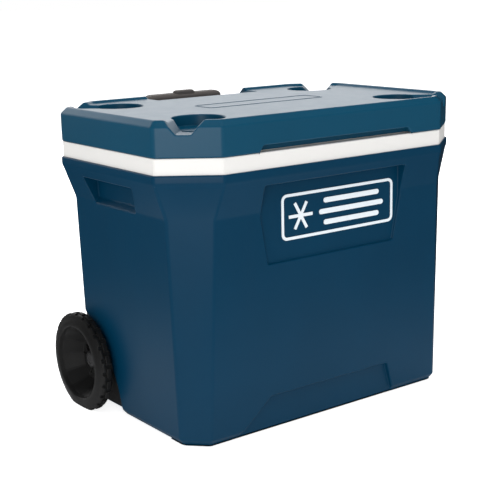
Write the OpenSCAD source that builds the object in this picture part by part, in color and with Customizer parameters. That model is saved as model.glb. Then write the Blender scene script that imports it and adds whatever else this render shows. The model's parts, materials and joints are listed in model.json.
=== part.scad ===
// Hard cooler on two wheels, with a hinged lid and a pull-out tow handle.
// X runs to the right seen from the front, Y to the back, Z up. The finished part stands on Z = 0.

/* [Body] */
// Width over the lid and the rim
body_w = 584; // [560:1:620]
// Depth over the lid and the rim
body_d = 389; // [380:1:410]
// Wall thickness of the mouldings
wall = 3; // [2.5:0.5:3.5]
// How far the side walls lean in, in mm per mm of height
taper = 0.0305; // [0.025:0.0005:0.035]
// Height of the cavity floor
floor_z = 55; // [50:1:60]

/* [Lid] */
// Height of the lid
lid_h = 52.2; // [50:0.1:56]
// Diameter of a cup holder
cup_d = 78; // [70:1:80]
// Depth of a cup holder below the lid's top panel
cup_depth = 17; // [15:0.5:18]

/* [Wheels] */
// Wheel diameter over the tread
wheel_d = 162; // [158:1:162]
// Width of the tread
wheel_w = 23; // [20:0.5:23]
// Diameter of the axle
axle_d = 12; // [10:1:12]

/* [Tow handle] */
// Width of the grip
grip_w = 158; // [150:1:170]
// Distance between the two telescopic legs
leg_span = 120; // [116:1:122]
// Outer diameter of the fixed sleeve tubes
sleeve_d = 25; // [25:0.5:26]

/* [Hidden] */

blue = [0.03, 0.24, 0.36];
white = [0.92, 0.92, 0.90];
black = [0.08, 0.08, 0.08];
dark_grey = [0.27, 0.25, 0.24];
steel = [0.62, 0.63, 0.65];
foam = [0.93, 0.88, 0.66];
gap = 0.3;          // free gap between bodies that pass each other
run_fit = 0.05;     // radial clearance of a running fit
round_fn = 48;

// Heights, from a plane that lies under_lift above the floor
under_lift = 6;
under_z = 2;                    // underside of the shell
heel_z = 12;                    // top of the bevel round the underside
shoulder_z = 345;               // the walls flare out above this
rim_z = 395;                    // bottom of the rim bead
collar_z = 411;                 // top of the rim bead, bottom of the white collar
mouth_z = 435;                  // top of the collar
lid_z = mouth_z + gap;
lid_top = lid_z + lid_h;
bevel = 9;
panel_z = lid_top - 4;          // top panel, below the raised edge
cup_z = panel_z - cup_depth;

// The part's origin is the middle of its footprint, on the floor
housing_back = 240;
mid_y = (housing_back - body_d / 2 - 2) / 2;
module placed() translate([0, -mid_y, under_lift]) children();

// A section is [half width, front, back, corner leg along X, corner leg along Y]
half_w = body_w / 2;
half_d = body_d / 2;
rim_leg = [78, 61];
function wall_x(z) = half_w - 27 + taper * z;
function wall_front(z) = half_d - 24.5 + taper * z;
function wall_back(z) = half_d - 31.5 + taper * z;
// How much the two corner legs shrink for each mm that a section is drawn in
function leg_loss(s) = s[3] + s[4] - sqrt(s[3] * s[3] + s[4] * s[4]);
function drawn_in(s, by) = [
    s[0] - by, s[1] - by, s[2] - by, s[3] - by * leg_loss(s) / s[4], s[4] - by * leg_loss(s) / s[3]
];
function body_section(z, in = 0) =
    drawn_in([wall_x(z), wall_front(z), wall_back(z), 33 + 0.058 * z, 34 + 0.035 * z], in);
function rim_section(out) = drawn_in([half_w, half_d, half_d, rim_leg[0], rim_leg[1]], -out);
function flare_back(z) =
    wall_back(shoulder_z) + (half_d - wall_back(shoulder_z)) * (z - shoulder_z) / (rim_z - shoulder_z);

// ---------------------------------------------------------------- shapes

function ring(s) = [
    [-s[0], s[4] - s[1]], [s[3] - s[0], -s[1]], [s[0] - s[3], -s[1]], [s[0], s[4] - s[1]],
    [s[0], s[2] - s[4]], [s[0] - s[3], s[2]], [s[3] - s[0], s[2]], [-s[0], s[2] - s[4]]
];

// A straight-sided block between two sections at two heights
module frustum(z1, a, z2, b) {
    points = concat([for (p = ring(a)) [p[0], p[1], z1]], [for (p = ring(b)) [p[0], p[1], z2]]);
    sides = [for (i = [0:7]) [i, i + 8, (i + 1) % 8 + 8, (i + 1) % 8]];
    polyhedron(points, concat([[for (i = [0:7]) i], [for (i = [7:-1:0]) i + 8]], sides));
}

module prism(z1, z2, s) translate([0, 0, z1]) linear_extrude(z2 - z1) polygon(ring(s));

// Runs its children once on the left and once, mirrored, on the right
module both_ends() {
    children();
    mirror([1, 0, 0]) children();
}

module both_legs() for (side = [-1, 1]) translate([side * leg_span / 2, leg_y, 0]) children();

module rod(z1, z2, d) translate([0, 0, z1]) cylinder(h = z2 - z1, d = d, $fn = round_fn);

module tube(z1, z2, od, id) difference() {
    rod(z1, z2, od);
    rod(z1 - 1, z2 + 1, id);
}

// A cylinder along X from x1 to x2
module rod_x(x1, x2, d, y = 0, z = 0)
    translate([x1, y, z]) rotate([0, 90, 0]) cylinder(h = x2 - x1, d = d, $fn = round_fn);

// A cylinder along Y from y1 to y2
module rod_y(y1, y2, d, x = 0, z = 0)
    translate([x, y1, z]) rotate([-90, 0, 0]) cylinder(h = y2 - y1, d = d, $fn = round_fn);

// A (y, z) outline drawn out along X
module along_x(x1, x2) translate([x1, 0, 0]) rotate([90, 0, 90]) linear_extrude(x2 - x1) children();

// A (x, z) outline drawn out along Y
module along_y(y1, y2) translate([0, y2, 0]) rotate([90, 0, 0]) linear_extrude(y2 - y1) children();

// A rectangle with round corners, centred
module round_rect(w, h, r) {
    square([w, h - 2 * r], center = true);
    square([w - 2 * r, h], center = true);
    for (i = [-1, 1], j = [-1, 1])
        translate([i * (w / 2 - r), j * (h / 2 - r)]) circle(r = r, $fn = 32);
}

// A pan-head screw pointing along -Y: its head's underside at the origin
screw_head_d = 8;
screw_head_h = 2.4;
screw_d = 4;
module screw(length) {
    rod_y(0, screw_head_h, screw_head_d);
    rod_y(-length, 0.01, screw_d);
}
module screw_hole(length) rod_y(-length, 1, screw_d);

// ---------------------------------------------------------------- wheel wells and wall recesses

well_r = 209;
well_y = 237;
well_z = -23;
well_x = 249;           // inner wall of each well

module wells(grow) both_ends()
    rod_x(-half_w - 60, -well_x + grow, 2 * (well_r + grow), well_y, well_z);

// Moulded hand pocket under the rim of each end
pocket_y = 6;
module hand_pockets(grow) both_ends() intersection() {
    along_x(-half_w - 20, -half_w + 60) polygon([
        [pocket_y - 58 - grow, 343 - grow], [pocket_y + 58 + grow, 343 - grow],
        [pocket_y + 72 + grow, 384 + grow], [pocket_y - 72 - grow, 384 + grow]
    ]);
    along_y(-120, 120) polygon([
        [-half_w - 20, 343 - grow], [16 - half_w + grow * 0.4, 343 - grow],
        [26 - half_w + grow, 352 - grow * 0.4], [30 - half_w + grow, 384 + grow],
        [-half_w - 20, 384 + grow]
    ]);
}

// Recessed panel that carries the badge
panel_y = -(half_d - 20.5);
module front_panel(grow) along_y(-half_d - 20, panel_y + grow) polygon([
    [-126 - grow, 265 - grow], [126 + grow, 265 - grow],
    [140 + grow, 336], [140 + grow, 386 + grow], [-140 - grow, 386 + grow], [-140 - grow, 336]
]);

// Recess low on the front wall
module toe_recess(grow) along_y(-half_d - 20, 31 - half_d + grow) polygon([
    [-186 - grow, under_z - 3], [139 + grow, under_z - 3],
    [122 + grow, 56 + grow], [-119 - grow, 56 + grow]
]);

drain_y = -80;
drain_z = 72;
drain_seat_x = half_w - 26;
module drain_seat(grow) rod_x(drain_seat_x - grow, half_w, 2 * (19 + grow), drain_y, drain_z);

module wall_cuts(grow) {
    wells(grow);
    hand_pockets(grow);
    front_panel(grow);
    toe_recess(grow);
    drain_seat(grow);
}

axle_y = 116;
axle_z = wheel_d / 2 - under_lift;
sleeve_od = axle_d + 6;

// ---------------------------------------------------------------- tow handle: common sizes

leg_y = 225;
sleeve_foot_z = 66;
sleeve_top_z = 430;
middle_d = 20;
inner_d = 15.4;
tube_wall = 1.2;
yoke_z = 436;
grip_z = 464;
grip_top = 485.5;
grip_depth = 27;
tube_end_z = 470;

housing_half = 85;
slot_half = 28;
housing_screw_x = 76;
housing_screw_z = 305;
foot_screw_z = 76;

module handle_housing() color(black) difference() {
    along_x(-housing_half, housing_half) polygon([
        [wall_back(290), 290], [wall_back(shoulder_z), shoulder_z], [flare_back(391), 391],
        [half_d + 4, 391], [half_d + 4, 426], [housing_back, 426], [housing_back, 320], [205, 290]
    ]);
    // a slot down the middle leaves two towers joined by the back plate
    translate([-slot_half, 198, 280]) cube([2 * slot_half, 60, 160]);
    both_legs() rod(280, 440, sleeve_d);
    for (s = [-1, 1]) translate([s * housing_screw_x, 196, housing_screw_z]) {
        screw_hole(40);
        rod_y(0, 30, screw_head_d + 1);
    }
}

module handle_foot_bracket() color(black) difference() {
    along_x(-housing_half, housing_half) polygon([
        [wall_back(56), 56], [wall_back(100), 100], [205, 100], [housing_back, 92], [housing_back, 62], [205, 56]
    ]);
    translate([-slot_half, 190, 40]) cube([2 * slot_half, 60, 80]);
    both_legs() rod(sleeve_foot_z, 110, sleeve_d);
    for (s = [-1, 1]) translate([s * housing_screw_x, 190, foot_screw_z]) {
        screw_hole(40);
        rod_y(0, 60, screw_head_d + 1);
    }
}

module housing_screws() color(steel) for (s = [-1, 1]) {
    translate([s * housing_screw_x, 196, housing_screw_z]) screw(36);
    translate([s * housing_screw_x, 190, foot_screw_z]) screw(36);
}

module housing_screw_holes() for (s = [-1, 1]) {
    translate([s * housing_screw_x, 196, housing_screw_z]) screw_hole(36);
    translate([s * housing_screw_x, 190, foot_screw_z]) screw_hole(36);
}

// ---------------------------------------------------------------- hinges: common sizes

hinge_y = half_d + 6;
hinge_z = lid_z + 39.7;
hinge_x = 182;          // middle of each hinge
knuckle_d = 10;
pin_d = 5;
body_screw_dx = 12;
body_screw_z = collar_z + 12;
lid_screw_z = [lid_z + 10, lid_z + 25];
collar_in = 1.5;        // the collar sits in from the lid's edge

module at_hinge(side) translate([side * hinge_x, 0, 0]) children();

module body_leaf(side) color(white) at_hinge(side) difference() {
    union() {
        translate([-30, half_d - collar_in, collar_z + 1]) cube([60, 4, mouth_z - collar_z - 2]);
        for (x = [-30, 17]) {
            translate([x, half_d + 1, collar_z + 10]) cube([13, 3, hinge_z - collar_z - 10]);
            translate([x, half_d + 1, hinge_z - 8]) cube([13, 5, 8]);
            rod_x(x, x + 13, knuckle_d, hinge_y, hinge_z);
        }
    }
    rod_x(-31, 31, pin_d, hinge_y, hinge_z);
    for (s = [-1, 1]) translate([s * body_screw_dx, half_d + 2.5, body_screw_z]) screw_hole(20);
}

module body_hinge_screws() color(steel) for (side = [-1, 1], s = [-1, 1])
    translate([side * hinge_x + s * body_screw_dx, half_d + 2.5, body_screw_z]) screw(14);

module body_hinge_screw_holes() for (side = [-1, 1], s = [-1, 1])
    translate([side * hinge_x + s * body_screw_dx, half_d + 2.5, body_screw_z]) screw_hole(14);

module hinge_pin(side) color(steel) at_hinge(side) rod_x(-30, 30, pin_d, hinge_y, hinge_z);

module lid_leaf(side) color(white) at_hinge(side) difference() {
    union() {
        translate([-16, half_d, lid_z + 4]) cube([32, 3, hinge_z - lid_z - 4]);
        translate([-16, half_d, hinge_z - 6]) cube([32, 6, 6]);
        rod_x(-16, 16, knuckle_d, hinge_y, hinge_z);
    }
    rod_x(-31, 31, pin_d + 2 * run_fit, hinge_y, hinge_z);
    for (z = lid_screw_z) translate([0, half_d + 3, z]) screw_hole(20);
}

module lid_hinge_screws() color(steel) for (side = [-1, 1], z = lid_screw_z)
    translate([side * hinge_x, half_d + 3, z]) screw(14);

module lid_hinge_screw_holes() for (side = [-1, 1], z = lid_screw_z)
    translate([side * hinge_x, half_d + 3, z]) screw_hole(14);

// ---------------------------------------------------------------- body mouldings

module body_block(inset) {
    frustum(under_z + inset, body_section(under_z, inset + 8), heel_z + inset, body_section(heel_z, inset));
    frustum(heel_z + inset, body_section(heel_z, inset), shoulder_z, body_section(shoulder_z, inset));
    frustum(shoulder_z, body_section(shoulder_z, inset), rim_z, rim_section(-inset));
}

// The two moulded feet under the front corners
foot_back = -100;
module front_feet() intersection() {
    frustum(-under_lift, drawn_in(body_section(under_z, 8), 5), under_z + 1, body_section(under_z, 8));
    for (x = [[-half_w, -186], [139, half_w]])
        translate([x[0], -half_d, -under_lift]) cube([x[1] - x[0], half_d + foot_back, 20]);
}

module outer_shell() color(blue) difference() {
    union() {
        difference() {
            union() {
                body_block(0);
                front_feet();
            }
            wall_cuts(0);
        }
        prism(rim_z, collar_z, rim_section(2));
    }
    difference() {
        union() {
            body_block(wall);
            prism(rim_z - 0.5, collar_z - wall, rim_section(2 - wall));
        }
        wall_cuts(wall);
    }
    prism(collar_z - wall - 1, collar_z + 1, rim_section(-14));
    rod_x(-half_w, half_w, sleeve_od, axle_y, axle_z);
    rod_x(half_w - 60, half_w, 20, drain_y, drain_z);
    housing_screw_holes();
}

cavity_top = [half_w - 49, half_d - 42.5, half_d - 52.5, 40, 40];
cavity_low = [half_w - 60, half_d - 51.5, half_d - 63.5, 40, 40];
cavity_step_y = axle_y - 26;
cavity_step_z = axle_z + 20;
function grown(s, by) = drawn_in(s, -by);

// The space inside the liner, or the liner's outside when it is grown by the wall
module cavity(grow) difference() {
    frustum(floor_z - grow, grown(cavity_low, grow), mouth_z + 1, grown(cavity_top, grow));
    // raised floor at the back, over the axle
    translate([-half_w, cavity_step_y - grow, 0]) cube([body_w, half_d, cavity_step_z - grow]);
}

module liner_blank() {
    cavity(2.5);
    prism(mouth_z - wall, mouth_z, rim_section(-collar_in));
}

module inner_liner() color(white) difference() {
    union() {
        intersection() {
            liner_blank();
            translate([-half_w, -half_d, 0]) cube([body_w, body_d, mouth_z]);
        }
        difference() {
            prism(collar_z, mouth_z, rim_section(-collar_in));
            prism(collar_z - 1, mouth_z - wall, rim_section(-collar_in - wall));
        }
    }
    cavity(0);
    rod_x(half_w - 80, half_w, 20, drain_y, drain_z);
    body_hinge_screw_holes();
}

module body_foam() color(foam) difference() {
    union() {
        difference() {
            union() {
                body_block(wall);
                prism(rim_z - 0.5, collar_z - wall, rim_section(2 - wall));
            }
            wall_cuts(wall);
        }
        prism(collar_z - wall, collar_z, rim_section(-14));
        prism(collar_z, mouth_z - wall, rim_section(-collar_in - wall));
    }
    cavity(2.5);
    rod_x(-half_w, half_w, sleeve_od, axle_y, axle_z);
    rod_x(half_w - 80, half_w, 20, drain_y, drain_z);
    housing_screw_holes();
    body_hinge_screw_holes();
}

// Plain badge: a frame with a snowflake and three bars
badge_w = 226;
badge_h = 70;
badge_mid_x = 15;
badge_mid_z = 330;
module front_badge() color(white) translate([badge_mid_x, 0, badge_mid_z]) along_y(panel_y - 1.2, panel_y) {
    difference() {
        round_rect(badge_w, badge_h, 10);
        round_rect(badge_w - 9, badge_h - 9, 6);
    }
    translate([-76, 0]) for (a = [0:60:120]) rotate(a) square([46, 5], center = true);
    for (i = [-1, 0, 1]) translate([26, 17 * i]) round_rect(132 - 18 * abs(i), 8, 3.9);
}

// ---------------------------------------------------------------- axle and wheels

wheel_face = 298;       // outer face of each wheel
hub_len = 45.3;
axle_end = wheel_face - 29;

module axle() color(steel) rod_x(-axle_end, axle_end, axle_d, axle_y, axle_z);

module axle_sleeve() color(white) difference() {
    rod_x(-well_x, well_x, sleeve_od, axle_y, axle_z);
    rod_x(-half_w, half_w, axle_d, axle_y, axle_z);
}

module axle_bracket() color(black) difference() {
    intersection() {
        rod_x(-well_x - 2.5, -well_x, 2 * (well_r - 1), well_y, well_z);
        translate([-half_w, 0, under_z + 4]) cube([half_w, wall_back(0) - 6, 150]);
    }
    rod_x(-half_w, 0, axle_d, axle_y, axle_z);
}

module axle_push_nuts() color(steel) both_ends() difference() {
    rod_x(-wheel_face + 30.5, -wheel_face + 32.5, 20, axle_y, axle_z);
    rod_x(-half_w - 20, 0, axle_d, axle_y, axle_z);
}

// Half outline of a wheel as [radius, depth from the outer face]
module wheel_outline() polygon([
    [axle_d / 2 + run_fit, 33], [14, 33], [15, 36], [38, 36], [57, 7], [60, 0], [66, 0], [74, 3],
    [wheel_d / 2 - 2, 5], [wheel_d / 2, 8], [wheel_d / 2, wheel_w - 4],
    [wheel_d / 2 - 3, wheel_w], [51.5, wheel_w], [46, 41], [20, 41], [16, hub_len],
    [axle_d / 2 + run_fit, hub_len]
]);

lugs = 24;
module wheel() color(black) translate([-wheel_face, axle_y, axle_z]) rotate([0, 90, 0]) difference() {
    rotate_extrude($fn = 96) wheel_outline();
    for (i = [0:lugs - 1]) rotate(i * 360 / lugs) {
        translate([wheel_d / 2 - 2.5, -3, -1]) cube([5, 6, wheel_w / 2]);
        rotate(180 / lugs) translate([wheel_d / 2 - 2.5, -3, wheel_w / 2 + 1]) cube([5, 6, wheel_w]);
    }
    translate([0, 0, wheel_w / 2 - 1.5]) difference() {
        cylinder(h = 2, r = wheel_d / 2 + 1, $fn = 96);
        cylinder(h = 2, r = wheel_d / 2 - 2.5, $fn = 96);
    }
    for (i = [0:5]) rotate(i * 60 + 30) translate([26.5, 0, 30]) cylinder(h = 20, d = 13, $fn = 32);
}

module hub_cap() color(black) translate([-wheel_face, axle_y, axle_z]) rotate([0, 90, 0]) difference() {
    union() {
        translate([0, 0, 27]) cylinder(h = 6, r = 14, $fn = round_fn);
        translate([0, 0, 25.5]) cylinder(h = 1.5, r1 = 12, r2 = 14, $fn = round_fn);
    }
    translate([0, 0, 27.5]) cylinder(h = 10, r = 12, $fn = round_fn);
}

// ---------------------------------------------------------------- drain

module drain_spout() color(white) difference() {
    union() {
        rod_x(half_w - 66, drain_seat_x + 12, 19.8, drain_y, drain_z);
        rod_x(drain_seat_x, drain_seat_x + 3, 32, drain_y, drain_z);
    }
    rod_x(0, half_w + 30, 13, drain_y, drain_z);
}

module drain_gasket() color(black) difference() {
    rod_x(half_w - 60.5, half_w - 60, 30, drain_y, drain_z);
    rod_x(0, half_w, 19.8, drain_y, drain_z);
}

module drain_nut() color(white) difference() {
    translate([half_w - 65, drain_y, drain_z]) rotate([0, 90, 0]) cylinder(h = 4.5, d = 32, $fn = 6);
    rod_x(0, half_w, 19.8, drain_y, drain_z);
}

module drain_plug() color(black) {
    rod_x(drain_seat_x + 12 + gap, drain_seat_x + 17, 26, drain_y, drain_z);
    rod_x(drain_seat_x - 4, drain_seat_x + 12 + gap, 12.8, drain_y, drain_z);
}

// ---------------------------------------------------------------- lid

module lid_block(inset) {
    prism(lid_z, lid_top - bevel, rim_section(-inset));
    frustum(lid_top - bevel, rim_section(-inset), lid_top - inset, rim_section(-bevel - inset));
}

notch_x = half_w - 34;
notch_y = half_d - 34;

// The four cup holders, each with a notch that lets it drain over the corner
module cup_holders(grow) for (i = [-1, 1], j = [-1, 1]) {
    translate([i * 198, j * 112, 0]) rod(cup_z - grow, lid_top + 1, cup_d + 2 * grow);
    translate([i * notch_x, j * notch_y, 0])
        rotate(j > 0 ? (i > 0 ? 45 : 135) : (i > 0 ? -45 : -135))
        along_x(-55, 20) polygon([
            [-10.5 - grow * 0.6, cup_z + 1 - grow], [10.5 + grow * 0.6, cup_z + 1 - grow],
            [28.5 + grow * 1.3, lid_top + 1], [-28.5 - grow * 1.3, lid_top + 1]
        ]);
}

// Ramp in the back edge that gives the hand room at the grip
scoop_half = 103;
module scoop(grow) along_x(-scoop_half - grow, scoop_half + grow) polygon([
    [138 - grow, panel_z + 0.1 - grow], [half_d + 1, panel_z - 6.5 - grow],
    [half_d + 1, lid_top + 5], [138 - grow, lid_top + 5]
]);

module top_panel(grow) difference() {
    frustum(panel_z - grow, rim_section(-20 + grow), lid_top + 0.1, rim_section(-15 + grow));
    if (grow == 0) difference() {
        translate([0, 0, panel_z - 1]) linear_extrude(1.8) round_rect(230, 50, 8);
        translate([0, 0, panel_z - 1]) linear_extrude(2) round_rect(224, 44, 5);
    }
}

module lid_cuts(grow) {
    cup_holders(grow);
    top_panel(grow);
    scoop(grow);
    finger_lip(grow);
}

// Recess under the front edge, for lifting the lid
module finger_lip(grow) along_y(-half_d - 5, 12 - half_d + grow) polygon([
    [-151 - grow, lid_z - 1], [151 + grow, lid_z - 1],
    [143 + grow, lid_z + 10 + grow], [-143 - grow, lid_z + 10 + grow]
]);

module lid_shell() color(blue) difference() {
    lid_block(0);
    lid_cuts(0);
    difference() {
        lid_inside();
        lid_cuts(wall);
    }
    lid_hinge_screw_holes();
}

module lid_inside() {
    prism(lid_z - 1, lid_top - bevel, rim_section(-wall));
    frustum(lid_top - bevel, rim_section(-wall), lid_top - wall, rim_section(-bevel - wall));
}

lid_plate_top = lid_z + 3;
plug_z = lid_z - 10;
module lid_plug_inside() frustum(plug_z + 3, grown(cavity_top, -12), lid_plate_top + 1, grown(cavity_top, -10));

module lid_liner() color(white) difference() {
    union() {
        difference() {
            prism(lid_z, lid_plate_top, rim_section(-wall));
            finger_lip(wall);
        }
        frustum(plug_z, grown(cavity_top, -9), lid_z, grown(cavity_top, -7));
    }
    lid_plug_inside();
    frustum(plug_z - 0.01, grown(cavity_top, -40), plug_z + 1.5, grown(cavity_top, -42));
}

module lid_foam() color(foam) difference() {
    union() {
        difference() {
            prism(lid_plate_top, lid_top - bevel, rim_section(-wall));
            lid_cuts(wall);
        }
        difference() {
            frustum(lid_top - bevel, rim_section(-wall), lid_top - wall, rim_section(-bevel - wall));
            lid_cuts(wall);
        }
        lid_plug_inside();
    }
    lid_hinge_screw_holes();
}

// ---------------------------------------------------------------- tow handle

module sleeve_tube() color(steel) tube(sleeve_foot_z, sleeve_top_z, sleeve_d, sleeve_d - 2 * tube_wall);

module sleeve_bushes() color(black) both_legs() difference() {
    union() {
        rod(sleeve_top_z - 24, sleeve_top_z, sleeve_d - 2 * tube_wall);
        rod(sleeve_top_z, sleeve_top_z + 4, sleeve_d + 2);
    }
    rod(0, 500, middle_d + 2 * run_fit);
}

module middle_tube() color(steel) tube(80, yoke_z, middle_d, middle_d - 2 * tube_wall);

module middle_yoke() color(black) difference() {
    union() {
        both_legs() rod(yoke_z, yoke_z + 4, middle_d + 4);
        both_legs() rod(yoke_z - 24, yoke_z, middle_d - 2 * tube_wall);
        translate([-leg_span / 2, leg_y - 5, yoke_z]) cube([leg_span, 10, 4]);
    }
    both_legs() rod(0, 500, inner_d + 2 * run_fit);
}

module inner_tube() color(steel) tube(84, tube_end_z, inner_d, inner_d - 2 * tube_wall);

module latch_plugs() color(black) both_legs() rod(84, 112, inner_d - 2 * tube_wall);

// The closed grip: a bar with round ends and round long edges
module grip_block() {
    mid = (grip_z + grip_top) / 2;
    h = (grip_top - grip_z) / 2;
    hull() {
        for (s = [-1, 1]) translate([s * (grip_w / 2 - 16), leg_y, mid]) {
            for (y = [-1, 1]) translate([0, y * (grip_depth / 2 - 8), 0]) sphere(r = 8, $fn = 32);
            translate([0, 0, -h]) rod(0, 2 * h, grip_depth - 10);
        }
        for (s = [-1, 1]) translate([s * (grip_w / 2 - 8), leg_y, mid]) sphere(r = 8, $fn = 32);
    }
}

button_w = 42;
button_d = 15;
button_travel = 4;
button_top = grip_top + 3.5;
module button_outline(grow) hull() for (s = [-1, 1])
    translate([s * (button_w - button_d) / 2, leg_y - 3]) circle(d = button_d + 2 * grow, $fn = 32);

spring_seat_z = 467;
link_z = tube_end_z + button_travel + 0.5;      // underside of the rods' cross link
link_h = 2.5;
module grip_hollow() {
    translate([-leg_span / 2 - 8, leg_y - 8, tube_end_z]) cube([leg_span + 16, 16, 11.5]);
    translate([0, leg_y, 0]) rod(spring_seat_z, tube_end_z + 1, 8);
    both_legs() rod(grip_z - 1, tube_end_z, inner_d);
    translate([0, 0, tube_end_z]) linear_extrude(30) button_outline(gap);
}

grip_screw_x = 38;
module grip_screw_holes() for (s = [-1, 1]) translate([s * grip_screw_x, leg_y + 10, grip_z + 4]) {
    rod_y(-17, 1, 3);
    rod_y(0, 20, 5.5);
}

module grip_half(y1, y2) color(dark_grey) difference() {
    intersection() {
        grip_block();
        translate([-200, y1, 400]) cube([400, y2 - y1, 200]);
    }
    grip_hollow();
    grip_screw_holes();
}

module grip_screws() color(steel) for (s = [-1, 1]) translate([s * grip_screw_x, leg_y + 10, grip_z + 4]) {
    rod_y(-16, 0.01, 3);
    rod_y(0, 2, 5.4);
}

module release_button() color(dark_grey) translate([0, 0, link_z + link_h])
    linear_extrude(button_top - link_z - link_h) button_outline(0);

module release_rods() color(steel) {
    translate([-leg_span / 2 - 3, leg_y - 4, link_z]) cube([leg_span + 6, 8, link_h]);
    both_legs() rod(120, link_z, 5);
}

module button_spring() color(steel) translate([0, leg_y, 0]) tube(spring_seat_z, link_z, 7, 5);

placed() outer_shell();
placed() body_foam();
placed() inner_liner();
placed() front_badge();
placed() axle();
placed() axle_sleeve();
placed() axle_bracket();  // axle_bracket_left
placed() mirror([1, 0, 0]) axle_bracket();  // axle_bracket_right
placed() axle_push_nuts();
placed() drain_spout();
placed() drain_gasket();
placed() drain_nut();
placed() drain_plug();
placed() handle_housing();
placed() handle_foot_bracket();
placed() translate([-leg_span / 2, leg_y, 0]) sleeve_tube();  // sleeve_tube_left
placed() translate([leg_span / 2, leg_y, 0]) sleeve_tube();  // sleeve_tube_right
placed() sleeve_bushes();
placed() housing_screws();
placed() body_leaf(-1);  // body_hinge_leaf_left
placed() body_leaf(1);  // body_hinge_leaf_right
placed() hinge_pin(-1);  // hinge_pin_left
placed() hinge_pin(1);  // hinge_pin_right
placed() body_hinge_screws();
placed() lid_shell();
placed() lid_foam();
placed() lid_liner();
placed() lid_leaf(-1);  // lid_hinge_leaf_left
placed() lid_leaf(1);  // lid_hinge_leaf_right
placed() lid_hinge_screws();
placed() translate([-leg_span / 2, leg_y, 0]) middle_tube();  // middle_tube_left
placed() translate([leg_span / 2, leg_y, 0]) middle_tube();  // middle_tube_right
placed() middle_yoke();
placed() translate([-leg_span / 2, leg_y, 0]) inner_tube();  // inner_tube_left
placed() translate([leg_span / 2, leg_y, 0]) inner_tube();  // inner_tube_right
placed() grip_half(leg_y - 30, leg_y);  // grip_front
placed() grip_half(leg_y, leg_y + 30);  // grip_rear
placed() grip_screws();
placed() latch_plugs();
placed() release_button();
placed() release_rods();
placed() button_spring();
placed() wheel();  // wheel_left
placed() mirror([1, 0, 0]) wheel();  // wheel_right
placed() hub_cap();  // hub_cap_left
placed() mirror([1, 0, 0]) hub_cap();  // hub_cap_right
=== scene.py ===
"""Looks of the wheeled cooler: moulded skins, wheels, grip, materials, studio and camera."""
import json
import math

import bmesh
import bpy
from mathutils import Matrix, Vector


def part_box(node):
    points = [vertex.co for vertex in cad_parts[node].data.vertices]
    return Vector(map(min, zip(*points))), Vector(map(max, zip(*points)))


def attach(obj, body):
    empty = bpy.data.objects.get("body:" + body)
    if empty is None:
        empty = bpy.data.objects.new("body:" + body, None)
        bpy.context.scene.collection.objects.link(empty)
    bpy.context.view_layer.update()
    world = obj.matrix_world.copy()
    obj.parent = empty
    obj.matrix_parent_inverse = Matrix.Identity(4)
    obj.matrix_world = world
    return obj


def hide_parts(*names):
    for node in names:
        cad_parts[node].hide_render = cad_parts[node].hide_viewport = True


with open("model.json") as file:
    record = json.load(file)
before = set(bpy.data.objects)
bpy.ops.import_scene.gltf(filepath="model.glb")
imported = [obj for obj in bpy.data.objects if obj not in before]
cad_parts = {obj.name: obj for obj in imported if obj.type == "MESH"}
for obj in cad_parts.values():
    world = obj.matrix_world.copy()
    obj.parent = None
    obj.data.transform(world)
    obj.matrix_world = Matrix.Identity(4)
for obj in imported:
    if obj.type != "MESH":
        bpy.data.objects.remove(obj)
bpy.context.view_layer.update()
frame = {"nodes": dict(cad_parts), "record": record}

MM = 0.001
BOX = {n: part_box(n) for n in frame["nodes"]}

# ------------------------------------------------------------------ the CAD model's numbers, in mm
# Y is measured from the middle of the lid and Z from a plane LIFT above the floor.
LIFT = 6.0
HALF_W, HALF_D = 292.0, 194.5
MID_Y = -BOX["outer_shell"][0][1] / MM - HALF_D - 2
UNDER_Z, HEEL_Z, SHOULDER_Z, RIM_Z, COLLAR_Z, MOUTH_Z = 2.0, 12.0, 345.0, 395.0, 411.0, 435.0
LID_Z = 435.3
LID_TOP = BOX["lid_shell"][1][2] / MM - LIFT
BEVEL = 9.0
PANEL_Z = LID_TOP - 4
CUP_D, CUP_Z = 78.0, LID_TOP - 21
RIM_LEG_X, RIM_LEG_Y = 78.0, 61.0
TAPER = 0.0305
WELL_R, WELL_Y, WELL_Z, WELL_X = 209.0, 237.0, -23.0, 249.0
AXLE_Y, AXLE_Z = 116.0, 75.0
WHEEL_R, WHEEL_W, WHEEL_FACE, HUB_LEN = 81.0, 23.0, 298.0, 45.3
LEG_Y = 225.0
GRIP_Z, GRIP_TOP, GRIP_W, GRIP_DEPTH = 464.0, 485.5, 158.0, 27.0
BUTTON_TOP = 489.0


def wall_x(z):
    return HALF_W - 27 + TAPER * z


def drawn_in(section, by):
    """A section (half width, front, back, corner leg along X, corner leg along Y) drawn in."""
    hx, front, back, lx, ly = section
    loss = lx + ly - math.hypot(lx, ly)
    return (hx - by, front - by, back - by, lx - by * loss / ly, ly - by * loss / lx)


def body_section(z, inset=0.0):
    return drawn_in((wall_x(z), HALF_D - 24.5 + TAPER * z, HALF_D - 31.5 + TAPER * z,
                     33 + 0.058 * z, 34 + 0.035 * z), inset)


def rim_section(out):
    return drawn_in((HALF_W, HALF_D, HALF_D, RIM_LEG_X, RIM_LEG_Y), -out)


# ------------------------------------------------------------------ mesh tools

def to_m(p):
    return Vector((p[0] * MM, (p[1] - MID_Y) * MM, (p[2] + LIFT) * MM))


def mesh_object(name, verts, faces):
    me = bpy.data.meshes.new(name)
    me.from_pydata([to_m(v) for v in verts], [], faces)
    me.validate()
    ob = bpy.data.objects.new(name, me)
    bpy.context.scene.collection.objects.link(ob)
    bm = bmesh.new()
    bm.from_mesh(me)
    bmesh.ops.recalc_face_normals(bm, faces=bm.faces)
    bm.to_mesh(me)
    bm.free()
    return ob


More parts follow.
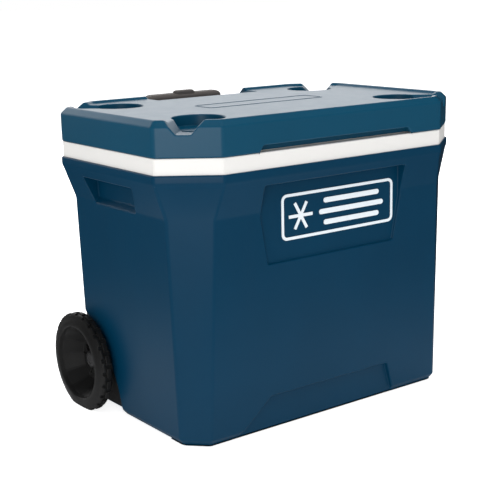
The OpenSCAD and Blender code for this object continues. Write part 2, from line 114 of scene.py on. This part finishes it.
def ring(section, z, r, n=4):
    """The eight-sided outline of a section, with round corners."""
    hx, f, b, lx, ly = section
    pts = [(-hx, ly - f), (lx - hx, -f), (hx - lx, -f), (hx, ly - f),
           (hx, b - ly), (hx - lx, b), (lx - hx, b), (-hx, b - ly)]
    out = []
    for i, p in enumerate(pts):
        p = Vector(p)
        a = (Vector(pts[i - 1]) - p).normalized()
        c = (Vector(pts[(i + 1) % 8]) - p).normalized()
        half = a.angle(c) / 2
        mid = p + (a + c).normalized() * (r / math.sin(half))
        start = p + a * (r / math.tan(half)) - mid
        end = p + c * (r / math.tan(half)) - mid
        turn = start.angle_signed(end)
        for k in range(n + 1):
            t = -turn * k / n
            q = Vector((start.x * math.cos(t) - start.y * math.sin(t),
                        start.x * math.sin(t) + start.y * math.cos(t))) + mid
            out.append((q.x, q.y, z))
    return out


def loft(name, rings, cap_start=True, cap_end=True):
    n = len(rings[0])
    verts = [v for r in rings for v in r]
    faces = []
    for i in range(len(rings) - 1):
        for k in range(n):
            a, b = i * n + k, i * n + (k + 1) % n
            faces.append((a, b, b + n, a + n))
    if cap_start:
        faces.append(tuple(range(n - 1, -1, -1)))
    if cap_end:
        faces.append(tuple(range((len(rings) - 1) * n, len(rings) * n)))
    return mesh_object(name, verts, faces)


def prism_y(name, outline, y1, y2):
    """An (x, z) outline drawn out along Y."""
    return loft(name, [[(x, y, z) for x, z in outline] for y in (y1, y2)])


def prism_x(name, outline, x1, x2):
    """A (y, z) outline drawn out along X."""
    return loft(name, [[(x, y, z) for y, z in outline] for x in (x1, x2)])


def circle(cx, cy, r, n):
    return [(cx + r * math.cos(2 * math.pi * k / n), cy + r * math.sin(2 * math.pi * k / n))
            for k in range(n)]


def post(name, x, y, z1, z2, r1, r2, n=96):
    return loft(name, [[(px, py, z) for px, py in circle(x, y, r, n)]
                       for z, r in ((z1, r1), (z2, r2))])


def bake(ob):
    dg = bpy.context.evaluated_depsgraph_get()
    me = bpy.data.meshes.new_from_object(ob.evaluated_get(dg))
    ob.modifiers.clear()
    ob.data = me
    return ob


def cut(ob, cutters, operation="DIFFERENCE"):
    for c in cutters:
        m = ob.modifiers.new("cut", "BOOLEAN")
        m.operation, m.solver, m.object = operation, "EXACT", c
    bake(ob)
    for c in cutters:
        bpy.data.objects.remove(c)
    return ob


def clean(ob, angle=0.4, weld=2e-5):
    bm = bmesh.new()
    bm.from_mesh(ob.data)
    bmesh.ops.remove_doubles(bm, verts=bm.verts, dist=weld)
    bmesh.ops.dissolve_limit(bm, angle_limit=math.radians(angle), verts=bm.verts, edges=bm.edges)
    bmesh.ops.recalc_face_normals(bm, faces=bm.faces)
    bm.to_mesh(ob.data)
    bm.free()
    return ob


def soften(ob, width, segments=3, angle=13, sharp=32):
    """Rounds the edges of a mesh and gives it even normals."""
    if width:
        m = ob.modifiers.new("round", "BEVEL")
        m.width, m.segments = width * MM, segments
        m.limit_method, m.angle_limit = "ANGLE", math.radians(angle)
        m.use_clamp_overlap = False
        m.miter_outer = "MITER_ARC"
        bake(ob)
    ob.data.polygons.foreach_set("use_smooth", [True] * len(ob.data.polygons))
    ob.data.set_sharp_from_angle(angle=math.radians(sharp))
    m = ob.modifiers.new("normals", "WEIGHTED_NORMAL")
    m.keep_sharp, m.weight = True, 60
    return bake(ob)


def drop_faces(ob, test):
    bm = bmesh.new()
    bm.from_mesh(ob.data)
    bmesh.ops.delete(bm, geom=[f for f in bm.faces if test(f)], context="FACES")
    bm.to_mesh(ob.data)
    bm.free()


def join(obs):
    bm = bmesh.new()
    for o in obs:
        bm.from_mesh(o.data)
    bm.to_mesh(obs[0].data)
    bm.free()
    for o in obs[1:]:
        bpy.data.objects.remove(o)
    return obs[0]


def refined(node, width, segments=2, angle=28):
    """A copy of a CAD node's mesh with its edges rounded."""
    ob = bpy.data.objects.new(node + "_skin", frame["nodes"][node].data.copy())
    bpy.context.scene.collection.objects.link(ob)
    ob.data.materials.clear()
    for a in list(ob.data.attributes):
        if a.name == "custom_normal":
            ob.data.attributes.remove(a)
    clean(ob, 0.3, 1e-5)
    return soften(ob, width, segments, angle)


# ------------------------------------------------------------------ materials

class Graph:
    """A material's nodes, made with short calls."""

    def __init__(self, name):
        self.mat = bpy.data.materials.new(name)
        self.mat.use_nodes = True
        self.tree = self.mat.node_tree
        self.tree.nodes.clear()
        self.out = self.add("ShaderNodeOutputMaterial")
        self.shader = self.add("ShaderNodeBsdfPrincipled")
        self.link(self.shader.outputs[0], self.out.inputs[0])
        self.coords = self.add("ShaderNodeTexCoord").outputs["Object"]

    def add(self, kind, **values):
        node = self.tree.nodes.new(kind)
        for k, v in values.items():
            setattr(node, k, v)
        return node

    def link(self, a, b):
        self.tree.links.new(a, b)

    def put(self, socket, value):
        if hasattr(value, "is_output"):
            self.link(value, socket)
        else:
            socket.default_value = value

    def stretched(self, scale):
        m = self.add("ShaderNodeMapping")
        m.inputs["Scale"].default_value = scale
        self.link(self.coords, m.inputs["Vector"])
        return m.outputs[0]

    def noise(self, scale, detail=3.0, rough=0.5, coords=None):
        n = self.add("ShaderNodeTexNoise")
        n.inputs["Scale"].default_value = scale
        n.inputs["Detail"].default_value = detail
        n.inputs["Roughness"].default_value = rough
        self.link(coords or self.coords, n.inputs["Vector"])
        return n.outputs["Fac"]

    def cells(self, scale):
        n = self.add("ShaderNodeTexVoronoi", feature="SMOOTH_F1")
        n.inputs["Scale"].default_value = scale
        self.link(self.coords, n.inputs["Vector"])
        return n.outputs["Distance"]

    def remap(self, value, a, b, c, d):
        n = self.add("ShaderNodeMapRange")
        self.link(value, n.inputs[0])
        for i, v in enumerate((a, b, c, d)):
            n.inputs[i + 1].default_value = v
        return n.outputs[0]

    def math(self, op, a, b=0.0):
        n = self.add("ShaderNodeMath", operation=op)
        self.put(n.inputs[0], a)
        self.put(n.inputs[1], b)
        return n.outputs[0]

    def mix(self, fac, a, b):
        n = self.add("ShaderNodeMix", data_type="RGBA")
        self.put(n.inputs[0], fac)
        for socket, v in ((n.inputs[6], a), (n.inputs[7], b)):
            self.put(socket, v if hasattr(v, "is_output") else (*v, 1.0))
        return n.outputs[2]

    def edges(self, radius):
        """About 1 on an outward edge and 0 on a flat face."""
        b = self.add("ShaderNodeBevel", samples=4)
        b.inputs["Radius"].default_value = radius
        g = self.add("ShaderNodeNewGeometry")
        d = self.add("ShaderNodeVectorMath", operation="DOT_PRODUCT")
        self.link(b.outputs[0], d.inputs[0])
        self.link(g.outputs["Normal"], d.inputs[1])
        return self.remap(d.outputs["Value"], 0.995, 0.86, 0.0, 1.0)

    def bump(self, height, strength, distance, under=None):
        n = self.add("ShaderNodeBump")
        n.inputs["Strength"].default_value = strength
        n.inputs["Distance"].default_value = distance
        self.link(height, n.inputs["Height"])
        if under is not None:
            self.link(under, n.inputs["Normal"])
        return n.outputs[0]

    def set(self, **values):
        for k, v in values.items():
            self.put(self.shader.inputs[k.replace("_", " ")], v)
        return self.mat


def tone(c, k):
    return tuple(min(1.0, v * k) for v in c)


def moulded(name, color, rough, grain=1100.0, depth=0.00003, worn=None, wear=0.35,
            blotch=0.06, spec=0.5, swing=0.035):
    """Injection-moulded plastic: pebble grain, faint sink marks, tone and gloss drift, worn edges."""
    g = Graph(name)
    drift = g.noise(7.0, 4.0)
    fine = g.noise(160.0, 3.0)
    base = g.mix(g.remap(drift, 0.3, 0.7, 0, 1), tone(color, 1 - blotch), tone(color, 1 + blotch))
    base = g.mix(g.remap(fine, 0.35, 0.75, 0, 0.22), base, tone(color, 1 + 2.2 * blotch))
    edge = g.edges(0.0016)
    scuff = g.math("MULTIPLY", edge, g.remap(g.noise(60.0, 5.0, 0.65), 0.42, 0.62, 0.15, 1.0))
    base = g.mix(g.math("MULTIPLY", scuff, wear), base, worn or tone(color, 1.9))
    streak = g.noise(34.0, 2.0, coords=g.stretched((1.0, 1.0, 0.12)))
    gloss = g.math("ADD", g.remap(streak, 0.3, 0.7, rough - swing, rough + swing),
                   g.remap(fine, 0.3, 0.7, -0.8 * swing, 0.8 * swing))
    pebble = g.math("ADD", g.cells(grain), g.math("MULTIPLY", g.noise(grain * 1.9, 2.0), 0.5))
    normal = g.bump(pebble, 0.5, depth)
    return g.set(Base_Color=base, Roughness=gloss, Normal=normal, Specular_IOR_Level=spec)


def metal(name, color, rough, along=(60.0, 60.0, 2.0), paint=False, bare=(0.6, 0.6, 0.62)):
    """Drawn metal with fine lines along its length; paint wears to bare metal on its edges."""
    g = Graph(name)
    lines = g.noise(22.0, 4.0, coords=g.stretched(along))
    patch = g.noise(25.0, 4.0)
    base = g.mix(g.remap(lines, 0.35, 0.65, 0, 1), tone(color, 0.86), tone(color, 1.1))
    edge = g.math("MULTIPLY", g.edges(0.0008), g.remap(patch, 0.4, 0.65, 0.1, 0.8))
    base = g.mix(edge, base, bare)
    gloss = g.math("ADD", g.remap(patch, 0.3, 0.7, rough - 0.05, rough + 0.07),
                   g.remap(lines, 0.3, 0.7, -0.05, 0.05))
    metallic = g.remap(edge, 0, 1, 0, 1) if paint else 1.0
    return g.set(Base_Color=base, Metallic=metallic, Roughness=gloss,
                 Normal=g.bump(lines, 0.25, 0.00004))


def foamed(name, color):
    g = Graph(name)
    cell = g.cells(520.0)
    base = g.mix(g.remap(cell, 0.0, 0.7, 0, 1), tone(color, 1.05), tone(color, 0.78))
    return g.set(Base_Color=base, Roughness=0.9, Normal=g.bump(cell, 0.7, 0.0006))


BLUE = moulded("blue_moulded", (0.0002, 0.036, 0.080), 0.36, 900.0, 0.00003,
               worn=(0.015, 0.085, 0.145), wear=0.2, blotch=0.05, spec=0.15, swing=0.02)
BLUE_LID = moulded("blue_lid", (0.0005, 0.062, 0.120), 0.38, 800.0, 0.000025,
                   worn=(0.03, 0.14, 0.22), wear=0.2, blotch=0.03, spec=0.32, swing=0.01)
WHITE = moulded("white_moulded", (0.83, 0.82, 0.79), 0.36, 1500.0, 0.000015,
                worn=(0.9, 0.9, 0.88), wear=0.3, blotch=0.02)
LINER = moulded("liner_white", (0.80, 0.785, 0.755), 0.36, 1500.0, 0.000003,
                worn=(0.93, 0.93, 0.92), wear=0.15, blotch=0.006, swing=0.012)
BLACK = moulded("black_moulded", (0.016, 0.016, 0.017), 0.48, 1000.0, 0.00006,
                worn=(0.09, 0.09, 0.09), wear=0.5, blotch=0.12)
TYRE = moulded("tyre_black", (0.008, 0.008, 0.008), 0.58, 700.0, 0.00008,
               worn=(0.055, 0.053, 0.05), wear=0.6, blotch=0.2, spec=0.28)
GRIP = moulded("grip_plastic", (0.100, 0.088, 0.082), 0.50, 1200.0, 0.00006,
               worn=(0.17, 0.155, 0.145), wear=0.45, blotch=0.08)
RUBBER = moulded("rubber_black", (0.02, 0.02, 0.02), 0.72, 900.0, 0.00005,
                 worn=(0.07, 0.07, 0.07), wear=0.4, blotch=0.15)
BADGE = moulded("badge_white", (0.80, 0.86, 0.90), 0.33, 1500.0, 0.00001,
                worn=(0.9, 0.93, 0.95), wear=0.2, blotch=0.02)
STEEL = metal("zinc_steel", (0.56, 0.57, 0.59), 0.33)
AXLE_STEEL = metal("axle_steel", (0.52, 0.53, 0.55), 0.3, along=(2.0, 60.0, 60.0))
TUBE = metal("tube_black", (0.03, 0.03, 0.032), 0.35, paint=True)
FOAM = foamed("foam_cream", (0.86, 0.78, 0.5))

SLOT_MATERIALS = {
    "blue_moulding": BLUE, "foam": FOAM, "white_moulding": WHITE, "badge_print": BADGE,
    "black_rubber": RUBBER, "steel": STEEL, "black_moulding": BLACK, "handle_tube": TUBE,
    "grip_moulding": GRIP,
}
NODE_SLOT = {s["node"]: s["material_slot"] for s in frame["record"]["subparts"]}
for node, ob in frame["nodes"].items():
    ob.data.materials.clear()
    ob.data.materials.append(AXLE_STEEL if node == "axle" else SLOT_MATERIALS[NODE_SLOT[node]])


def placed(ob, name, body, nodes, material):
    """Hangs a finished piece on its body in place of CAD nodes."""
    ob.name = ob.data.name = name
    ob.data.materials.clear()
    ob.data.materials.append(material)
    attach(ob, body)
    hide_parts(*nodes)
    return ob


# ------------------------------------------------------------------ body moulding
EDGE_R = 9.0            # radius of the walls' upright edges
LINING_DEPTH = 12.0     # how far the rim's inner wall runs down
FOOT_BACK = -100.0
FOOT_INNER = (-186.0, 139.0)


def wells():
    out = []
    for s in (-1, 1):
        out.append(prism_x("well", circle(WELL_Y, WELL_Z, WELL_R, 200), s * WELL_X, s * 360))
    return out


def pocket(side):
    rows = ((343, 276, 58), (352, 266, 61.1), (384, 262, 72))
    return loft("pocket", [[(side * 330, 6 - h, z), (side * x, 6 - h, z), (side * x, 6 + h, z),
                            (side * 330, 6 + h, z)] for z, x, h in rows])


def body_skin():
    r = EDGE_R
    block = loft("body", [
        ring(body_section(UNDER_Z, 8), UNDER_Z, r), ring(body_section(HEEL_Z), HEEL_Z, r),
        ring(body_section(SHOULDER_Z), SHOULDER_Z, r), ring(rim_section(-0.4), RIM_Z - 1, r),
        ring(rim_section(1.6), RIM_Z + 4, r), ring(rim_section(1.6), COLLAR_Z, r),
        ring(rim_section(-14), COLLAR_Z, r), ring(rim_section(-14), COLLAR_Z - LINING_DEPTH, r)])
    feet = loft("feet", [ring(drawn_in(body_section(UNDER_Z, 8), 5), -LIFT, r),
                         ring(body_section(UNDER_Z, 8), UNDER_Z + 1, r)])
    outline = [(-HALF_D, -LIFT - 1), (FOOT_BACK, -LIFT - 1), (FOOT_BACK, 20), (-HALF_D, 20)]
    corners = [prism_x("corner", outline, *x)
               for x in ((-HALF_W, FOOT_INNER[0]), (FOOT_INNER[1], HALF_W))]
    cut(feet, [join(corners)], "INTERSECT")
    cut(block, [feet], "UNION")
    front = -HALF_D - 20
    cutters = wells() + [pocket(-1), pocket(1)]
    cutters.append(prism_y("panel", [(-126, 265), (126, 265), (140, 336), (140, 386),
                                     (-140, 386), (-140, 336)], front, -174))
    cutters.append(prism_y("toe", [(-186, -1), (139, -1), (122, 56), (-119, 56)], front, -163.5))
    cutters.append(prism_x("seat", circle(-80, 72, 19, 48), HALF_W - 26, HALF_W + 10))
    cut(block, cutters)
    clean(block)
    # the hidden face across the mouth, which would close the cavity
    hidden_z = (COLLAR_Z - LINING_DEPTH + LIFT) * MM
    drop_faces(block, lambda f: f.normal.z > 0.9 and abs(f.calc_center_median().z - hidden_z) < 0.5 * MM)
    return soften(block, 2.4, 3)


placed(body_skin(), "body_moulding", "cooler_body", ["outer_shell"], BLUE)


# ------------------------------------------------------------------ liner and collar

def liner_skin():
    top = (HALF_W - 49, HALF_D - 42.5, HALF_D - 52.5, 40, 40)
    low = (HALF_W - 60, HALF_D - 51.5, HALF_D - 63.5, 40, 40)
    soft_top, soft_low = drawn_in(top, -4), drawn_in(low, 10)
    r = 16
    ob = loft("liner", [
        ring(rim_section(-1.5), COLLAR_Z, 6, 6), ring(rim_section(-1.5), MOUTH_Z, 6, 6),
        ring(soft_top, MOUTH_Z, r, 6), ring(top, MOUTH_Z - 4, r, 6),
        ring(low, 65, r, 6), ring(soft_low, 55, r, 6)], cap_start=False)
    step = prism_x("step", [(90, 50), (90, 95), (150, 95), (150, 50)], -240, 240)
    soften(ob, 1.6, 3, 20)
    soften(step, 4, 4, 20)
    drop_faces(step, lambda f: f.normal.z < -0.9)
    return join([ob, step])


placed(liner_skin(), "liner_moulding", "cooler_body", ["inner_liner"], LINER)


# ------------------------------------------------------------------ lid

def lid_skin():
    r = 12
    ob = loft("lid", [
        ring(rim_section(-3), LID_Z + 1.2, r, 5), ring(rim_section(-3), LID_Z, r, 5),
        ring(rim_section(0), LID_Z, r, 5), ring(rim_section(0), LID_TOP - BEVEL, r, 5),
        ring(rim_section(-BEVEL), LID_TOP, r, 5)])
    cutters = []
    for i in (-1, 1):
        for j in (-1, 1):
            cutters.append(post("cup", i * 198, j * 112, CUP_Z, LID_TOP + 1, CUP_D / 2, CUP_D / 2 + 0.4))
            mid = Vector((i * (HALF_W - 34), j * (HALF_D - 34)))
            out = Vector((i, j)).normalized()
            side = Vector((-out.y, out.x))
            rows = []
            for d in (-55, 20):
                row = []
                for s, z in ((-10.5, CUP_Z + 1), (10.5, CUP_Z + 1),
                             (28.5, LID_TOP + 1), (-28.5, LID_TOP + 1)):
                    p = mid + out * d + side * s
                    row.append((p.x, p.y, z))
                rows.append(row)
            cutters.append(loft("notch", rows))
    cutters.append(loft("panel", [ring(rim_section(-20), PANEL_Z, 10, 5),
                                  ring(rim_section(-15), LID_TOP + 0.1, 12, 5)]))
    cutters.append(prism_x("scoop", [(138, PANEL_Z + 0.1), (HALF_D + 1, PANEL_Z - 6.5),
                                     (HALF_D + 1, LID_TOP + 5), (138, LID_TOP + 5)], -103, 103))
    cutters.append(prism_y("lip", [(-151, LID_Z - 1), (151, LID_Z - 1), (143, LID_Z + 10),
                                   (-143, LID_Z + 10)], -HALF_D - 5, 12 - HALF_D))
    cut(ob, cutters)
    clean(ob)
    return soften(ob, 2.1, 4)


placed(lid_skin(), "lid_moulding", "lid", ["lid_shell"], BLUE_LID)


def outline_band():
    """The plain raised outline on the lid's top."""
    def rounded(w, h, r, n=8):
        pts = []
        for cx, cy, a in ((w / 2 - r, h / 2 - r, 0), (r - w / 2, h / 2 - r, 90),
                          (r - w / 2, r - h / 2, 180), (w / 2 - r, r - h / 2, 270)):
            pts += [(cx + r * math.cos(math.radians(a + 90 * k / n)),
                     cy + r * math.sin(math.radians(a + 90 * k / n))) for k in range(n + 1)]
        return pts
    rows = []
    for w, h, r, z in ((230, 50, 8, -0.3), (229.4, 49.4, 7.7, 0.6),
                       (224.6, 44.6, 5.3, 0.6), (224, 44, 5, -0.3)):
        rows.append([(x, y, PANEL_Z + z) for x, y in rounded(w, h, r)])
    ob = loft("band", rows, False, False)
    return soften(ob, 0, sharp=40)


band = outline_band()
band.name = "lid_outline"
band.data.materials.append(BLUE_LID)
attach(band, "lid")


# ------------------------------------------------------------------ wheels

HOLE_RING, HOLE_R = 26.5, 6.5


def wheel_mesh(side):
    lugs = 24
    pitch = 360 / lugs
    steps = (-2.7, -2.1, 2.1, 2.7, 4.8, 5.4, 9.6, 10.2)
    angles = [i * pitch + s for i in range(lugs) for s in steps]

    def groove(row, deg):
        d = (deg - row * pitch / 2) % pitch
        d = min(d, pitch - d)
        return d < 2.4

    # (depth from the outer face, radius, tread row)
    low = WHEEL_R - 2.8
    profile = [
        (33.0, 6.3, None), (33.0, 13.4, None), (33.6, 14.2, None), (35.4, 14.8, None), (36.0, 16.2, None),
        (36.0, 36.0, None), (35.0, 38.6, None), (8.4, 56.4, None), (6.6, 57.6, None), (1.2, 59.6, None),
        (0.3, 60.6, None), (0.0, 62.0, None), (0.0, 65.4, None), (0.7, 68.2, None), (2.6, 72.8, None),
        (3.4, 75.0, None), (3.9, 77.4, 0), (4.8, 79.4, 0), (6.6, WHEEL_R, 0),
        (9.2, WHEEL_R, 0), (9.8, WHEEL_R - 0.5, 0), (10.1, low, None),
        (11.9, low, None), (12.3, WHEEL_R - 0.5, 1), (12.9, WHEEL_R, 1),
        (18.6, WHEEL_R, 1), (20.4, 80.0, 1), (22.6, 78.0, 1), (WHEEL_W, 76.5, None), (WHEEL_W, 53.6, None),
        (23.8, 52.0, None), (40.2, 46.6, None), (41.0, 45.0, None), (41.0, 21.0, None),
        (41.6, 19.6, None), (HUB_LEN, 16.2, None), (HUB_LEN, 6.3, None),
    ]
    verts, faces = [], []
    n = len(angles)
    for depth, radius, row in profile:
        for a in angles:
            r = radius
            if row is not None and groove(row, a):
                r = min(r, low)
            if 35.5 < radius < 57.0 and depth > 8:
                flat = (a % 30) - 15       # the dish wall has twelve flat panels
                r = radius * math.cos(math.radians(15)) / math.cos(math.radians(flat)) + 0.6
            t = math.radians(a)
            verts.append((side * (WHEEL_FACE - depth), AXLE_Y + r * math.cos(t), AXLE_Z + r * math.sin(t)))
    for i in range(len(profile) - 1):
        for k in range(n):
            a, b = i * n + k, i * n + (k + 1) % n
            faces.append((a, b, b + n, a + n))
    last = (len(profile) - 1) * n
    faces += [(last + k, last + (k + 1) % n, (k + 1) % n, k) for k in range(n)]
    ob = mesh_object("wheel", verts, faces)
    holes = []
    for i in range(6):
        t = math.radians(i * 60 + 30)
        outline = circle(AXLE_Y + HOLE_RING * math.cos(t), AXLE_Z + HOLE_RING * math.sin(t), HOLE_R, 32)
        holes.append(prism_x("hole", outline, side * (WHEEL_FACE - 30), side * (WHEEL_FACE - 50)))
    cut(ob, holes)
    ribs = []
    for i in range(6):
        t = math.radians(i * 60)
        c, s = math.cos(t), math.sin(t)
        rib = []
        for x in (WHEEL_FACE - 36.2, WHEEL_FACE - 33.6):
            w = 1.5 if x < WHEEL_FACE - 36 else 1.1
            rib.append([(side * x, AXLE_Y + c * u - s * v, AXLE_Z + s * u + c * v)
                        for u, v in ((15.0, -w), (35.5, -w), (35.5, w), (15.0, w))])
        ribs.append(soften(loft("rib", rib), 0.4, 2, 30))
    soften(ob, 0, sharp=24)
    return join([ob] + ribs)


for side, word in ((-1, "left"), (1, "right")):
    placed(wheel_mesh(side), f"wheel_moulding_{word}", f"{word}_wheel", [f"wheel_{word}"], TYRE)


def hub_cap(side):
    n = 64
    rows = []
    for depth, radius in ((33.0, 13.9), (27.8, 14.0), (27.0, 13.5), (25.9, 12.0), (25.5, 10.2),
                          (25.5, 7.0), (26.2, 6.2), (26.2, 0.4)):
        rows.append([(side * (WHEEL_FACE - depth), AXLE_Y + y, AXLE_Z + z)
                     for y, z in circle(0, 0, radius, n)])
    return soften(loft("cap", rows), 0, sharp=35)


for side, word in ((-1, "left"), (1, "right")):
    placed(hub_cap(side), f"hub_cap_moulding_{word}", f"{word}_wheel", [f"hub_cap_{word}"], BLACK)


# ------------------------------------------------------------------ tow grip

def grip_bar():
    """The closed bar, a loft of rounded outlines from its underside to its crown."""
    def outline(half, depth, r, n=10):
        pts = []
        for cx, cy, a in ((half - r, depth - r, 0), (r - half, depth - r, 90),
                          (r - half, r - depth, 180), (half - r, r - depth, 270)):
            pts += [(cx + r * math.cos(math.radians(a + 90 * k / n)),
                     LEG_Y + cy + r * math.sin(math.radians(a + 90 * k / n))) for k in range(n + 1)]
        return pts
    half, depth = GRIP_W / 2, GRIP_DEPTH / 2
    rows = []
    steps = 8
    for k in range(steps + 1):
        t = math.pi / 2 * k / steps
        rows.append((GRIP_Z + 6 * (1 - math.sin(t)), 6 * (1 - math.cos(t))))
    rows = rows[::-1]
    for k in range(steps + 1):
        t = math.pi / 2 * k / steps
        rows.append((GRIP_TOP - 7.5 * (1 - math.sin(t)), 7.5 * (1 - math.cos(t))))
    rings = []
    for z, inset in rows:
        pts = outline(half - inset * 1.15, depth - inset, max(2.5, 12.5 - inset))
        # the ends drop a little towards the legs
        rings.append([(x, y, z - (4.5 * (abs(x) / half) ** 7 * max(0, z - 474) / 11)) for x, y in pts])
    return loft("grip", rings)


def pill(grow, z1, z2, n=24, dome=0.0):
    pts = []
    for s, a0 in ((1, -90), (-1, 90)):
        pts += [(s * 13.5 + (7.5 + grow) * math.cos(math.radians(a0 + 180 * k / n)),
                 LEG_Y - 3 + (7.5 + grow) * math.sin(math.radians(a0 + 180 * k / n))) for k in range(n + 1)]
    rows = [[(x, y, z1) for x, y in pts]]
    if dome:
        for k in range(6):
            t = math.pi / 2 * k / 5
            shrink = 1 - (1 - math.cos(t)) * 0.62
            rows.append([(x * (0.5 + shrink / 2), LEG_Y - 3 + (y - LEG_Y + 3) * shrink,
                          z2 - dome + dome * math.sin(t)) for x, y in pts])
    else:
        rows.append([(x, y, z2) for x, y in pts])
    return loft("pill", rows)


def grip_half(front):
    ob = grip_bar()
    y1, y2 = (LEG_Y - 40, LEG_Y - 0.12) if front else (LEG_Y + 0.12, LEG_Y + 40)
    keep = prism_x("keep", [(y1, 450), (y2, 450), (y2, 500), (y1, 500)], -100, 100)
    cut(ob, [keep], "INTERSECT")
    cutters = [pill(1.1, 472, 500)]
    for s in (-1, 1):
        cutters.append(post("bore", s * 60, LEG_Y, 455, 470, 7.7, 7.7, 48))
        if not front:
            cutters.append(prism_y("bore", circle(s * 38, 468, 2.75, 24), LEG_Y + 10, LEG_Y + 30))
    cut(ob, cutters)
    clean(ob, 0.2)
    return soften(ob, 0.45, 2, 38, sharp=35)


placed(grip_half(True), "grip_moulding_front", "handle_grip", ["grip_front"], GRIP)
placed(grip_half(False), "grip_moulding_rear", "handle_grip", ["grip_rear"], GRIP)
placed(soften(pill(-0.1, 477, BUTTON_TOP, dome=3.4), 0, sharp=40),
       "button_moulding", "button", ["release_button"], GRIP)

# ------------------------------------------------------------------ other mouldings
for node, body, width in (
        ("front_badge", "cooler_body", 0.35), ("handle_housing", "cooler_body", 1.2),
        ("handle_foot_bracket", "cooler_body", 1.0), ("middle_yoke", "handle_middle", 0.6),
        ("body_hinge_leaf_left", "cooler_body", 0.5), ("body_hinge_leaf_right", "cooler_body", 0.5),
        ("lid_hinge_leaf_left", "lid", 0.5), ("lid_hinge_leaf_right", "lid", 0.5),
        ("axle_bracket_left", "cooler_body", 0.6), ("axle_bracket_right", "cooler_body", 0.6),
        ("drain_plug", "plug", 0.8), ("drain_spout", "cooler_body", 0.4),
        ("drain_nut", "cooler_body", 0.5), ("lid_liner", "lid", 0.9)):
    material = LINER if node == "lid_liner" else SLOT_MATERIALS[NODE_SLOT[node]]
    placed(refined(node, width), node + "_moulding", body, [node], material)

# ------------------------------------------------------------------ studio

def area(name, at, aim, size, power, color=(1, 1, 1), size_y=None):
    light = bpy.data.lights.new(name, "AREA")
    light.shape, light.size, light.size_y = "RECTANGLE", size, size_y or size
    light.energy, light.color = power, color
    ob = bpy.data.objects.new(name, light)
    ob.location = at
    ob.rotation_mode = "QUATERNION"
    ob.rotation_quaternion = (Vector(aim) - Vector(at)).to_track_quat("-Z", "Y")
    bpy.context.scene.collection.objects.link(ob)
    return ob


FLOOR_HALF, FLOOR_DEPTH = 30000, 50
corners = [(x * FLOOR_HALF, y * FLOOR_HALF) for x, y in ((-1, -1), (1, -1), (1, 1), (-1, 1))]
floor = loft("floor", [[(x, y, z) for x, y in corners] for z in (0, -FLOOR_DEPTH)])
fg = Graph("floor_white")
# Seen in the moulding's gloss, the pale floor fades out close by
floor_rays = fg.add("ShaderNodeLightPath").outputs
floor_far = fg.add("ShaderNodeVectorMath", operation="LENGTH")
fg.link(fg.coords, floor_far.inputs[0])
floor_fade = fg.remap(floor_far.outputs["Value"], 0.35, 0.85, 0, 1)
floor_dark = fg.math("MULTIPLY", floor_rays["Is Glossy Ray"], floor_fade)
floor.data.materials.append(fg.set(
    Base_Color=fg.mix(floor_dark, fg.mix(fg.remap(fg.noise(2.0), 0.3, 0.7, 0, 1), (0.90, 0.90, 0.90),
                                         (0.92, 0.92, 0.92)), (0.02, 0.02, 0.02)),
    Roughness=0.85, Specular_IOR_Level=0.0, Emission_Color=(1, 1, 1, 1),
    Emission_Strength=fg.math("ADD", fg.math("MULTIPLY", floor_rays["Is Camera Ray"], 0.45),
                              fg.remap(floor_rays["Is Glossy Ray"], 0, 1, 0.35, 0.0))))

world = bpy.data.worlds.new("studio")
bpy.context.scene.world = world
world.use_nodes = True
nt = world.node_tree
nt.nodes.clear()
w_out = nt.nodes.new("ShaderNodeOutputWorld")
w_path = nt.nodes.new("ShaderNodeLightPath")


def background(color, strength):
    node = nt.nodes.new("ShaderNodeBackground")
    node.inputs[0].default_value = (*color, 1)
    node.inputs[1].default_value = strength
    return node.outputs[0]


def either(ray, other, shader):
    node = nt.nodes.new("ShaderNodeMixShader")
    nt.links.new(w_path.outputs[ray], node.inputs[0])
    nt.links.new(other, node.inputs[1])
    nt.links.new(shader, node.inputs[2])
    return node.outputs[0]


lit = either("Is Glossy Ray", background((0.97, 0.98, 1.0), 0.64), background((0.97, 0.98, 1.0), 0.02))
nt.links.new(either("Is Camera Ray", lit, background((1, 1, 1), 1.0)), w_out.inputs[0])

area("top", (0.3, -0.4, 2.6), (0, 0, 0.3), 2.4, 32).visible_glossy = False
area("corner", (-1.75, -1.6, 0.4), (-0.27, -0.17, 0.3), 0.8, 15, size_y=1.3)
area("backdrop", (0.9, 3.2, 1.4), (0, 0, 0.4), 5.4, 90, size_y=2.4)

# ------------------------------------------------------------------ camera
YAW, PITCH, ROLL = (math.radians(v) for v in (36.84, 13.19, -1.21))
cam_data = bpy.data.cameras.new("camera")
cam = bpy.data.objects.new("camera", cam_data)
bpy.context.scene.collection.objects.link(cam)
cam_data.sensor_width = 36
cam_data.lens = 81.9
cam_data.clip_start, cam_data.clip_end = 0.1, 100
forward = Vector((math.sin(YAW) * math.cos(PITCH), math.cos(YAW) * math.cos(PITCH), -math.sin(PITCH)))
side_v = forward.cross(Vector((0, 0, 1))).normalized()
up_v = side_v.cross(forward)
right = side_v * math.cos(ROLL) + up_v * math.sin(ROLL)
up = up_v * math.cos(ROLL) - side_v * math.sin(ROLL)
cam.matrix_world = Matrix((right, up, -forward)).transposed().to_4x4()
cam.location = (-1.1239, -1.4647 - MID_Y * MM, 0.6755)
scene = bpy.context.scene
scene.camera = cam
scene.view_settings.view_transform = "Standard"
